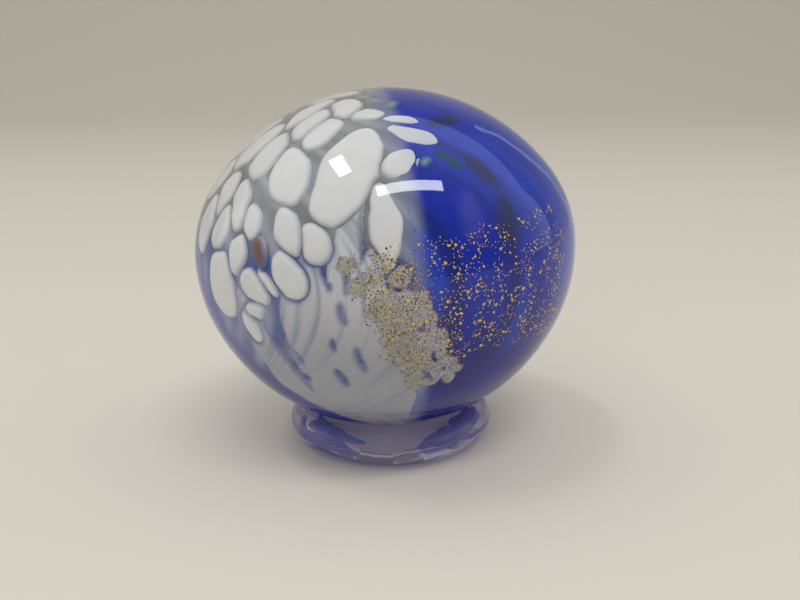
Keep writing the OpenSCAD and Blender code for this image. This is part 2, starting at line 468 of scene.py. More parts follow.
@dataclass
class Painter:
    """Colours the layer's glass point by point, so that pieces which touch agree along their edges."""

    form: GlobeForm
    palette: Palette = field(default_factory=Palette)
    opal_direction: tuple[float, float] = (316.0, 38.5)
    opal_reach: float = 12.3
    seam_lon: float = 280.0
    haze: float = 2.6
    far_from_seam: float = 24.0
    halo: float = 1.6
    fields: dict = field(default_factory=dict)

    def seam_side(self, net: Net) -> np.ndarray:
        """Gives the distance into the white side from the seam's flat plane."""
        return net.stirred @ -direction(self.seam_lon + 90, 0)

    def drawn(self, net: Net, wide: float, long: float, seed: float) -> np.ndarray:
        """Gives streaks that run down the globe, from 0 to 1, of a width and length in millimetres."""
        key = (net.level, wide, long, seed)
        if key not in self.fields:
            turn = np.arctan2(net.at[:, 1], net.at[:, 0]) * np.hypot(net.at[:, 0], net.at[:, 1])
            z = net.at[:, 2]
            values = [noise.noise(Vector((t / wide, h / long, seed))) for t, h in zip(turn, z)]
            self.fields[key] = smooth(0.5 + 0.9 * np.array(values))
        return self.fields[key]

    def wisp(self, node: str, net: Net) -> np.ndarray:
        """Gives how strongly a packed wisp colours the glass round it."""
        key = (net.level, node)
        if key not in self.fields:
            self.fields[key] = smooth((oval_edge(node, net) + self.halo) / (2 * self.halo))
        return self.fields[key]

    def edge_side(self, net: Net) -> np.ndarray:
        """Gives the distance into the white side from its lower edge."""
        return net.stirred @ direction(*self.opal_direction) + self.opal_reach

    def colours(self, net: Net, layer: Layer, edge: np.ndarray | None = None) -> np.ndarray:
        """Gives the colour of one kind of glass at every point of a net.

        Args:
            net: Net over the globe.
            layer: The kind of glass.
            edge: Distance in from the piece's own edge, where it has one.

        Returns:
            Linear colours, one a row.
        """
        tone = {k: np.array(linear(v)[:3]) for k, v in vars(self.palette).items()}
        lat = np.degrees(np.arcsin(net.out[:, 2]))
        low = smooth((32 - lat) / 24)[:, None]
        deep = smooth((-8 - lat) / 30)[:, None]
        if layer in (Layer.MATRIX, Layer.COBALT):
            cobalt = tone["cobalt"] * (1 - deep) + tone["cobalt_low"] * deep
            light = 0.7 * self.drawn(net, 7.0, 26.0, 1.0) ** 2 * (1 - deep[:, 0])
            cobalt = self.blend(cobalt, tone["cobalt_light"], light)
            cobalt = self.blend(cobalt, tone["cobalt_dark"], 0.6 * self.drawn(net, 4.0, 22.0, 5.0) ** 3)
            far = smooth((-self.seam_side(net) - self.far_from_seam) / 9)
            cobalt = self.blend(cobalt, tone["cobalt_far"], 0.7 * far * (1 - deep[:, 0]))
            cobalt = self.blend(cobalt, tone["violet"], 0.75 * self.wisp("violet_wisps", net))
            cobalt = self.blend(cobalt, tone["slate"], 0.9 * self.wisp("slate_wisps", net))
            # painted shade: the clear glass between the chips is coloured grey for the dark seen through it
            gap = tone["gap"] * (1 - low) + tone["gap_low"] * low
            gap = self.blend(gap, tone["opal_haze"], 0.55 * self.drawn(net, 3.5, 12.0, 3.0) ** 2)
            side = self.seam_side(net)
            into = smooth((self.haze - side) / (2 * self.haze))[:, None]
            hazy = gap * 0.5 + tone["seam_haze"] * 0.5
            near = smooth(1 - np.abs(side) / self.haze)[:, None] * 0.55
            mixed = gap * (1 - into) + cobalt * into
            mixed = mixed * (1 - near) + hazy * near
            below = smooth((2.5 - self.edge_side(net)) / 5.0)[:, None]
            return mixed * (1 - below) + cobalt * below
        white = np.broadcast_to(tone["opal"], (len(net.at), 3))
        if layer is Layer.SKIRT:
            # painted shade: the skirt turns darker and greyer towards the bottom, where it faces down away
            # from the light
            down = smooth((8 - lat) / 40)[:, None]
            white = tone["skirt"] * (1 - down) + tone["skirt_low"] * down
            white = self.blend(white, tone["skirt_line"], 0.8 * self.drawn(net, 1.3, 18.0, 9.0) ** 4)
        if edge is not None:
            # towards a piece's edge its colour goes to the edge tone and the glass beneath: the thinning opal
            # lets that glass show, and part of the darkening is painted shade in the creases where pieces
            # meet
            width, strength, share = (1.1, 0.9, 0.75) if layer is Layer.SKIRT else (0.8, 0.6, 0.4)
            rim = smooth(1 - edge / width)[:, None] * strength
            rim_tone = tone["opal_edge"] * (1 - low) + tone["opal_edge_low"] * low
            rim_tone = rim_tone * (1 - share) + self.colours(net, Layer.MATRIX) * share
            white = white * (1 - rim) + rim_tone * rim
        over = smooth((2.5 - self.seam_side(net)) / 7) * (0.6 if layer is Layer.CHIP else 0.8)
        return self.blend(white, tone["opal_haze"], over)

    @staticmethod
    def blend(under: np.ndarray, tone: np.ndarray, share: np.ndarray) -> np.ndarray:
        """Lays a tone over colours by a share at each point."""
        return under * (1 - share[:, None]) + tone * share[:, None]


def make_object(name: str, points: np.ndarray, faces: list | np.ndarray) -> bpy.types.Object:
    """Makes a smooth-shaded mesh object at the origin.

    Args:
        name: The object's name.
        points: Points in metres.
        faces: Point indices of each face.

    Returns:
        The object, linked to the scene.
    """
    mesh = bpy.data.meshes.new(name)
    mesh.from_pydata(points.tolist(), [], faces if isinstance(faces, list) else faces.tolist())
    mesh.validate()
    mesh.shade_smooth()
    made = bpy.data.objects.new(name, mesh)
    bpy.context.scene.collection.objects.link(made)
    return made


def tint(made: bpy.types.Object, colours: np.ndarray) -> None:
    """Stores a colour at every point of a piece."""
    attribute = made.data.attributes.new("tint", "FLOAT_COLOR", "POINT")
    opaque = np.column_stack((colours, np.ones(len(colours))))
    attribute.data.foreach_set("color", opaque.astype(np.float32).ravel())


def patch(
    name: str, net: Net, keep: np.ndarray, top: np.ndarray, floor: float, colours: np.ndarray
) -> bpy.types.Object:
    """Makes a closed piece of the layer where a net's points are kept.

    Args:
        name: The piece's name.
        net: Net over the globe.
        keep: Which points belong to the piece.
        top: Depth of its upper surface under the outer skin.
        floor: Depth of its underside.
        colours: Colour at every point.

    Returns:
        The piece.
    """
    faces = net.faces[keep[net.faces].any(axis=1)]
    used, flat = np.unique(faces, return_inverse=True)
    faces = flat.reshape(-1, 3)
    count = len(used)
    upper = net.form.skin(net.out[used], np.minimum(top[used], floor - 0.05))
    lower = net.form.skin(net.out[used], floor)
    edges = np.concatenate((faces[:, (0, 1)], faces[:, (1, 2)], faces[:, (2, 0)]))
    forward = set(map(tuple, edges.tolist()))
    rim = [(a, b) for a, b in forward if (b, a) not in forward]
    walls = [(b, a, a + count, b + count) for a, b in rim]
    shell = faces.tolist() + (faces[:, ::-1] + count).tolist() + walls
    made = make_object(name, net.form.seat(np.concatenate((upper, lower))), shell)
    tint(made, np.tile(colours[used], (2, 1)))
    return made


@dataclass(frozen=True)
class LayerGlass:
    """Coloured glass buried in clear glass. Nothing shines at its face, because the casing is fused to it."""

    name: str
    streak: float = 2.4
    depth: float = 0.06
    roughness: float = 0.5

    def material(self) -> bpy.types.Material:
        """Builds the material: the piece's own tint, clouded by drawn-out streaks of the given width."""
        made = bpy.data.materials.new(self.name)
        made.use_nodes = True
        tree = made.node_tree
        tree.nodes.clear()
        own = add_node(tree, "ShaderNodeAttribute", {"attribute_name": "tint"})
        place = add_node(tree, "ShaderNodeTexCoord")
        drawn = add_node(
            tree,
            "ShaderNodeMapping",
            inputs={"Vector": place.outputs["Object"], "Rotation": (0, 0.25, 0), "Scale": (1, 1, 0.35)},
        )
        cloud = add_node(
            tree,
            "ShaderNodeTexNoise",
            inputs={"Vector": drawn.outputs["Vector"], "Scale": 1 / (self.streak * MM), "Detail": 3.0},
        )
        level = add_node(
            tree,
            "ShaderNodeMapRange",
            inputs={"Value": cloud.outputs["Fac"], 1: 0.3, 2: 0.7, 3: 1 - self.depth, 4: 1 + self.depth},
        )
        shade = add_node(
            tree,
            "ShaderNodeVectorMath",
            {"operation": "SCALE"},
            {0: own.outputs["Color"], "Scale": level.outputs[0]},
        )
        body = add_node(
            tree,
            "ShaderNodeBsdfPrincipled",
            inputs={
                "Base Color": shade.outputs[0],
                "Roughness": self.roughness,
                "IOR": 1.5,
                "Specular IOR Level": 0.0,
            },
        )
        end = add_node(tree, "ShaderNodeOutputMaterial", inputs={"Surface": body.outputs[0]})
        end.location = (600, 0)
        return made


@dataclass(frozen=True)
class ClearGlass:
    """Clear soda-lime studio glass, fire polished. Lamps reach what is inside it."""

    name: str
    colour: str = "#ffffff"
    roughness: float = 0.0
    ior: float = 1.5
    cords: float = 0.0
    cord_size: float = 4.0
    milk: float = 0.0

    def material(self) -> bpy.types.Material:
        """Builds the material, with faint drawn cords in the glass where it has them."""
        made = bpy.data.materials.new(self.name)
        made.use_nodes = True
        tree = made.node_tree
        tree.nodes.clear()
        glass = add_node(
            tree,
            "ShaderNodeBsdfPrincipled",
            inputs={
                "Base Color": linear(self.colour),
                "Roughness": self.roughness,
                "IOR": self.ior,
                "Transmission Weight": 1.0 - self.milk,
            },
        )
        if self.cords:
            place = add_node(tree, "ShaderNodeTexCoord")
            ripple = add_node(
                tree,
                "ShaderNodeTexNoise",
                inputs={"Vector": place.outputs["Object"], "Scale": 1 / (self.cord_size * MM), "Detail": 1.0},
            )
            bump = add_node(
                tree,
                "ShaderNodeBump",
                inputs={"Strength": self.cords, "Distance": 0.2 * MM, "Height": ripple.outputs["Fac"]},
            )
            tree.links.new(bump.outputs["Normal"], glass.inputs["Normal"])
        through = add_node(tree, "ShaderNodeBsdfTransparent", inputs={"Color": linear(self.colour)})
        path = add_node(tree, "ShaderNodeLightPath")
        either = add_node(
            tree,
            "ShaderNodeMath",
            {"operation": "MAXIMUM"},
            {0: path.outputs["Is Shadow Ray"], 1: path.outputs["Is Diffuse Ray"]},
        )
        mixed = add_node(
            tree,
            "ShaderNodeMixShader",
            inputs={0: either.outputs[0], 1: glass.outputs[0], 2: through.outputs[0]},
        )
        add_node(tree, "ShaderNodeOutputMaterial", inputs={"Surface": mixed.outputs[0]})
        return made


@dataclass(frozen=True)
class LeafMetal:
    """Beaten metal leaf, crumpled when it was picked up on the hot glass."""

    name: str
    bright: str
    dull: str
    grain: float = 0.5
    metallic: float = 1.0
    roughness: float = 0.38
    sheer: bool = False

    def material(self) -> bpy.types.Material:
        """Builds the material, with duller patches where the leaf has oxidised."""
        made = bpy.data.materials.new(self.name)
        made.use_nodes = True
        tree = made.node_tree
        tree.nodes.clear()
        place = add_node(tree, "ShaderNodeTexCoord")
        patchy = add_node(
            tree,
            "ShaderNodeTexNoise",
            inputs={"Vector": place.outputs["Object"], "Scale": 1 / (self.grain * MM), "Detail": 2.0},
        )
        share = add_node(
            tree, "ShaderNodeMapRange", inputs={"Value": patchy.outputs["Fac"], 1: 0.35, 2: 0.65}
        )
        blend = add_node(
            tree,
            "ShaderNodeMix",
            {"data_type": "RGBA"},
            {0: share.outputs[0], 6: linear(self.bright), 7: linear(self.dull)},
        )
        colour = blend.outputs[2]
        if self.sheer:
            own = add_node(tree, "ShaderNodeAttribute", {"attribute_name": "tint"})
            colour = add_node(
                tree,
                "ShaderNodeMix",
                {"data_type": "RGBA", "blend_type": "MULTIPLY"},
                {0: 1.0, 6: own.outputs["Color"], 7: colour},
            ).outputs[2]
        body = add_node(
            tree,
            "ShaderNodeBsdfPrincipled",
            inputs={"Base Color": colour, "Metallic": self.metallic, "Roughness": self.roughness},
        )
        add_node(tree, "ShaderNodeOutputMaterial", inputs={"Surface": body.outputs[0]})
        return made


def finish_piece(made: bpy.types.Object, material: bpy.types.Material, slot: str, *nodes: str) -> None:
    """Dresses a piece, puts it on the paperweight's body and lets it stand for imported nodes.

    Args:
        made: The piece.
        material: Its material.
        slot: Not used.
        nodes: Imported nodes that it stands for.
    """
    if not made.data.materials:
        made.data.materials.append(material)
    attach(made, BODY)
    if nodes:
        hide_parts(*nodes)
    LOG.info("%s: %d faces, finished in %s", made.name, len(made.data.polygons), material.name)


@dataclass
class ColourLayer:
    """Everything rolled into the thin coloured layer: chips, skirt, clear matrix, cobalt, wisps and trail."""

    form: GlobeForm
    fine: Net
    coarse: Net
    painter: Painter
    gap: float = 0.05
    corner: float = 1.3
    roll_off: float = 1.6
    chip_drop: float = 1.0
    matrix_drop: float = 0.75
    wisp_proud: float = 0.04
    growth: float = 1.5
    shown: np.ndarray | None = None

    def chip_edges(self, groups: dict[str, list[Chip]]) -> dict[str, np.ndarray]:
        """Grows every chip until it meets its neighbours, as chips spread when they are rolled hot.

        Args:
            groups: The chips of each node.

        Returns:
            For each node, the distance in from the edge of its chips, below 0 outside them.
        """
        names = [name for name, chips in groups.items() for _ in chips]
        chips = [chip for group in groups.values() for chip in group]
        measured = [chip.measure(self.fine.stirred, self.fine.out) for chip in chips]
        shares = np.array([m[0] for m in measured])
        halves = np.array([m[1] for m in measured])
        edges = {name: np.full(len(self.fine.at), -5.0) for name in groups}
        for i, name in enumerate(names):
            others = np.delete(shares, i, axis=0)
            nearest = np.argmin(others, axis=0)
            column = np.arange(len(nearest))
            other_half = np.delete(halves, i, axis=0)[nearest, column]
            own = (1 - shares[i]) * halves[i] + self.growth
            shared = (others[nearest, column] - shares[i]) / (1 / halves[i] + 1 / other_half) - self.gap / 2
            edges[name] = np.maximum(edges[name], soft_least(own, shared, self.corner))
        return edges

    def pillow(self, edge: np.ndarray, proud: float, roll_off: float) -> np.ndarray:
        """Gives the depth of a chip's rounded face.

        Args:
            edge: Distance in from its edge.
            proud: How far its middle stands above the layer's face.
            roll_off: Width of its rounded edge.

        Returns:
            Depth under the outer skin.
        """
        share = np.clip(edge / roll_off, 0, 1)
        fall = self.chip_drop * (1 - np.sqrt(1 - (1 - share) ** 2))
        return self.form.colour_inset - proud + fall + np.maximum(-edge, 0)

    def build(self) -> None:
        """Builds and dresses every piece of the layer, and keeps the colour that shows at each point."""
        # opal glass, rolled: milky white with faint drawn clouds
        opal = LayerGlass("Opal_glass", streak=3.0, depth=0.025).material()
        floor = self.form.bed_inset
        whites = ("crown_chips", "shoulder_chips", "flank_chips", "back_chips", "seam_chips")
        edges = self.chip_edges({name: chips_of(name, self.coarse) for name in whites})
        self.shown = self.painter.colours(self.fine, Layer.COBALT)
        for name, edge in edges.items():
            colours = self.painter.colours(self.fine, Layer.CHIP, edge)
            proud = 0.2 if name == "seam_chips" else 0.12
            top = self.pillow(edge, proud, self.roll_off)
            made = patch(f"{name}_glass", self.fine, edge > -0.5, top, floor, colours)
            finish_piece(made, opal, "opal_glass", name)
            self.shown = np.where(edge[:, None] > 0, colours, self.shown)
        taken = np.max(np.array(list(edges.values())), axis=0)
        skirt = np.minimum(packed_edge("opal_skirt", self.fine) + self.gap, -taken - self.gap)
        colours = self.painter.colours(self.fine, Layer.SKIRT, skirt)
        top = self.pillow(skirt, 0.05, 0.9)
        made = patch("opal_skirt_glass", self.fine, skirt > -0.5, top, floor, colours)
        finish_piece(made, opal, "opal_glass", "opal_skirt")
        self.shown = np.where(skirt[:, None] > 0, colours, self.shown)
        self.build_inclusion("green_chips", "green_glass", "#7aac8a", 0.85, 1.6)
        self.build_inclusion("brown_chip", "brown_glass", "#7c5c49", 0.97, 1.5)
        self.build_ground()
        self.build_wisps()

    def build_inclusion(self, node: str, slot: str, tone: str, strength: float, soft: float) -> None:
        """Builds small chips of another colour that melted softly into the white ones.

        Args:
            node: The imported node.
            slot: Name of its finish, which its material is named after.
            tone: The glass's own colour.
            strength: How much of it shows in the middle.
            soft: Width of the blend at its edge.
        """
        edge = oval_edge(node, self.fine)
        own = smooth(edge / soft)[:, None] * strength
        colours = self.shown * (1 - own) + np.array(linear(tone)[:3]) * own
        top = self.form.colour_inset - 0.24 + np.maximum(0.3 - edge, 0) * 0.4
        # coloured frit, melted in: a stain with soft edges in the white
        glass = LayerGlass(f"{slot.capitalize()}", streak=1.6, depth=0.1).material()
        made = patch(f"{node}_glass", self.fine, edge > -0.1, top, self.form.bed_inset, colours)
        finish_piece(made, glass, slot, node)
        self.shown = np.where(edge[:, None] > 0, colours, self.shown)

    def build_ground(self) -> None:
        """Builds the clear matrix on the white side and the cobalt on the other."""
        net, paint = self.coarse, self.painter
        side = np.minimum(net.at @ -direction(paint.seam_lon + 90, 0), paint.edge_side(net))
        sunk = self.form.colour_inset + self.matrix_drop * smooth(side / 4)
        floor = self.form.bed_inset + 0.3
        made = patch("clear_matrix_glass", net, side > 0, sunk, floor, paint.colours(net, Layer.MATRIX))
        # clear glass pressed up between the chips, coloured grey as painted shade for the dark seen through
        # it: grey lines that part the chips
        matrix_shade = LayerGlass("Shade_painted_matrix_glass", streak=3.5, depth=0.1).material()
        finish_piece(made, matrix_shade, "clear_glass", "clear_matrix")
        flush = np.full(len(net.at), self.form.colour_inset)
        made = patch("cobalt_glass", net, side <= 0, flush, floor, paint.colours(net, Layer.COBALT))
        # cobalt glass, drawn out hot: deep blue, lighter and darker in long bands
        cobalt = LayerGlass("Cobalt_glass", streak=3.5, depth=0.1).material()
        finish_piece(made, cobalt, "cobalt_glass", "cobalt_overlay")

    def build_wisps(self) -> None:
        """Builds the teal chip, the violet and slate wisps and the pale trail, flush in the cobalt."""
        # the same cobalt with other glass trailed through it: bands that fade into the blue
        cobalt = LayerGlass("Wisp_glass", streak=3.5, depth=0.1).material()
        colours = self.painter.colours(self.fine, Layer.COBALT)
        slots = {"teal_chip": "teal_glass", "violet_wisps": "violet_glass", "slate_wisps": "slate_glass"}
        for name, slot in slots.items():
            edge = oval_edge(name, self.fine)
            tinted = colours
            if name == "teal_chip":
                own = smooth(edge / 0.7)[:, None] * 0.95
                tinted = colours * (1 - own) + np.array(linear("#0f4a62")[:3]) * own
            level = self.form.colour_inset - self.wisp_proud + np.maximum(0.25 - edge, 0) * 0.4
            made = patch(f"{name}_glass", self.fine, edge > -0.2, level, self.form.bed_inset, tinted)
            finish_piece(made, cobalt, slot, name)
        edge = packed_edge("pale_trail", self.fine)
        own = smooth(edge / 0.32)[:, None] * 0.85
        tinted = colours * (1 - own) + np.array(linear("#6a92f4")[:3]) * own
        level = self.form.colour_inset - 2 * self.wisp_proud + np.maximum(0.2 - edge, 0) * 0.5
        made = patch("pale_trail_glass", self.fine, edge > -0.15, level, self.form.bed_inset, tinted)
        finish_piece(made, cobalt, "pale_blue_glass", "pale_trail")


@dataclass
class Casing:
    """The clear gather over the colour, solid all through, with the ground pontil mark under it."""

    form: GlobeForm
    net: Net

    def build(self) -> None:
        """Builds and dresses the casing, and dresses the core that lies under the colour."""
        points = self.form.skin(self.net.out)
        reach = np.hypot(points[:, 0], points[:, 1])
        dish = self.form.pontil_depth * (1 - (reach / self.form.pontil_radius) ** 2)
        under = (points[:, 2] < 0) & (reach < self.form.pontil_radius)
        points[under, 2] = np.maximum(points[under, 2], -self.form.base + dish[under])
        made = make_object("clear_casing_glass", self.form.seat(points), self.net.faces)
        # fire-polished clear glass: sharp lamp reflections and real depth over the colour
        finish_piece(made, ClearGlass("Clear_cased_glass").material(), "clear_glass", "clear_casing")
        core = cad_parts["core_gather"]
        core.data.materials.clear()
        # the inner gather, a little greyer where it shows through thin colour
        core.data.materials.append(ClearGlass("Clear_core_glass", colour="#f2f5f7").material())


@dataclass
class Foot:
    """The applied foot: a low ring of clear glass with cobalt drawn through it, slightly uneven by hand."""

    form: GlobeForm
    turns: int = 240
    steps: int = 22
    wave: float = 0.3
    clearance: float = 0.03
    streak_turns: int = 60
    streak_steps: int = 10
    strands: int = 5
    seed: int = 4
    rounding: float = 3.6
    bore: float = 12.0
    strand_radius: tuple[float, float] = (16.5, 21.3)
    strand_height: tuple[float, float] = (1.2, 4.6)

    def build(self) -> None:
        """Builds and dresses the ring and the streaks in it."""
        low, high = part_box("foot_ring")
        outer = (high.y - low.y) / 2 / MM
        set_x = (high.x + low.x) / 2 / MM
        bore = self.bore
        angles = np.linspace(0, 2 * math.pi, self.turns, endpoint=False)
        profile = self.profile(outer)
        rings = []
        for angle in angles:
            c, s = math.cos(angle), math.sin(angle)
            wobble = noise.noise(Vector((c * 1.6, s * 1.6, 3.0))) * self.wave
            lift = noise.noise(Vector((c * 2.2, s * 2.2, 7.0))) * self.wave
            share = (profile[:, 0] - bore) / (outer - bore)
            radius = profile[:, 0] + wobble * share - max(wobble, 0) * 0.5
            height = profile[:, 1] * (1 + 0.03 * lift) + max(lift, 0) * 0.5 * (profile[:, 1] < 0.5)
            x, y = set_x + radius * c, radius * s
            height = np.minimum(height, self.form.under_side(x, y) - self.clearance)
            rings.append(np.stack((x, y, np.maximum(height, 0)), axis=1))
        points = np.concatenate(rings) * MM
        count = len(profile)
        starts = [(i * count, (i + 1) % self.turns * count) for i in range(self.turns)]
        faces = [
            (here + j, after + j, after + (j + 1) % count, here + (j + 1) % count)
            for here, after in starts
            for j in range(count)
        ]
        made = make_object("foot_ring_glass", points, faces)
        # fire-polished foot glass, worked by hand: faint ripples and a slight milkiness
        glass = ClearGlass("Clear_foot_glass", "#e2def0", 0.03, cords=0.6, cord_size=3.0, milk=0.16)
        finish_piece(made, glass.material(), "foot_glass", "foot_ring")
        self.build_streaks(set_x)

    def build_streaks(self, set_x: float) -> None:
        """Builds strands of cobalt along each packed streak, tapered and uneven, as one piece.

        Args:
            set_x: How far the ring is set sideways.
        """
        draws = np.random.default_rng(self.seed)
        points, faces = [], []
        for solid in solids_of("foot_streaks", self.form):
            table = self.form.seat(solid) / MM
            turn = np.unwrap(np.sort(np.arctan2(table[:, 1], table[:, 0] - set_x)))
            start, end = turn[0], turn[-1]
            if end - start > math.pi:
                gap = np.argmax(np.diff(turn))
                start, end = turn[gap + 1], turn[gap] + 2 * math.pi
            for _ in range(self.strands):
                radius, height = draws.uniform(*self.strand_radius), draws.uniform(*self.strand_height)
                wide, thick = draws.uniform(0.5, 1.1), draws.uniform(0.18, 0.4)
                first = start + draws.uniform(-0.12, 0.25) * (end - start)
                last = end - draws.uniform(-0.12, 0.25) * (end - start)
                self.add_strand(points, faces, (first, last), (radius, height), (wide, thick), set_x)
        made = make_object("foot_streaks_glass", np.array(points) * MM, faces)
        finish_piece(made, self.streak_material(), "cobalt_glass", "foot_streaks")

    def add_strand(
        self,
        points: list,
        faces: list,
        sweep: tuple[float, float],
        middle: tuple[float, float],
        size: tuple[float, float],
        set_x: float,
    ) -> None:
        """Adds one closed strand to the lists.

        Args:
            points: Points so far.
            faces: Faces so far.
            sweep: First and last angle round the ring.
            middle: Radius and height of its line.
            size: Half width and half thickness.
            set_x: How far the ring is set sideways.
        """
        first = len(points)
        turns, steps = self.streak_turns, self.streak_steps
        for i in range(turns):
            share = i / (turns - 1)
            angle = sweep[0] + (sweep[1] - sweep[0]) * share
            full = math.sqrt(max(math.sin(math.pi * share), 0.0)) + 0.02
            place = Vector((math.cos(angle), math.sin(angle), 0)) * 2.5 + Vector((middle[0], middle[1], 0))
            sway, rise = noise.noise(place) * 1.0, noise.noise(place + Vector((0, 0, 9))) * 0.7
            swell = 1 + 0.6 * noise.noise(place * 2)
            for j in range(steps):
                t = 2 * math.pi * j / steps
                radius = middle[0] + sway + size[0] * full * swell * math.cos(t)
                height = middle[1] + rise + size[1] * full * swell * math.sin(t)
                x, y = set_x + radius * math.cos(angle), radius * math.sin(angle)
                top = float(self.form.under_side(np.array(x), np.array(y))) - 0.3
                points.append((x, y, min(max(height, 0.4), top)))
        for i in range(turns - 1):
            for j in range(steps):
                a, b = first + i * steps + j, first + i * steps + (j + 1) % steps
                faces.append((a, a + steps, b + steps, b))
        faces.append(tuple(first + j for j in range(steps)))
        faces.append(tuple(first + (turns - 1) * steps + j for j in reversed(range(steps))))

    def profile(self, outer: float) -> np.ndarray:
        """Gives the ring's section, round at both sides, counter-clockwise from the bottom of its bore."""
        turn = np.radians(np.linspace(-90, 90, self.steps))
        reach, rise = self.rounding * np.cos(turn), self.rounding + self.rounding * np.sin(turn)
        far, near = outer - self.rounding, self.bore + self.rounding
        right = np.stack((far + reach, rise), axis=1)
        top = np.stack((np.linspace(far, near, 8)[1:-1], np.full(6, 2 * self.rounding)), axis=1)
        left = np.stack((near - reach, rise), axis=1)[::-1]
        bottom = np.stack((np.linspace(near, far, 8)[1:-1], np.zeros(6)), axis=1)
        return np.concatenate((right, top, left, bottom))

    def streak_material(self) -> bpy.types.Material:
        """Builds the cobalt that was drawn through the foot, denser and thinner by turns."""
        # cobalt threads in the clear foot: blue that comes and goes round the ring
        made = bpy.data.materials.new("Drawn_cobalt_glass")
        made.use_nodes = True
        tree = made.node_tree
        tree.nodes.clear()
        place = add_node(tree, "ShaderNodeTexCoord")
        cloud = add_node(
            tree,
            "ShaderNodeTexNoise",
            inputs={"Vector": place.outputs["Object"], "Scale": 260.0, "Detail": 3.0},
        )
        blend = add_node(
            tree,
            "ShaderNodeMix",
            {"data_type": "RGBA"},
            {0: cloud.outputs["Fac"], 6: linear("#0a1ca8"), 7: linear("#3a50d0")},
        )
        body = add_node(
            tree,
            "ShaderNodeBsdfPrincipled",
            inputs={"Base Color": blend.outputs[2], "Roughness": 0.4, "Specular IOR Level": 0.0},
        )
        add_node(tree, "ShaderNodeOutputMaterial", inputs={"Surface": body.outputs[0]})
        return made


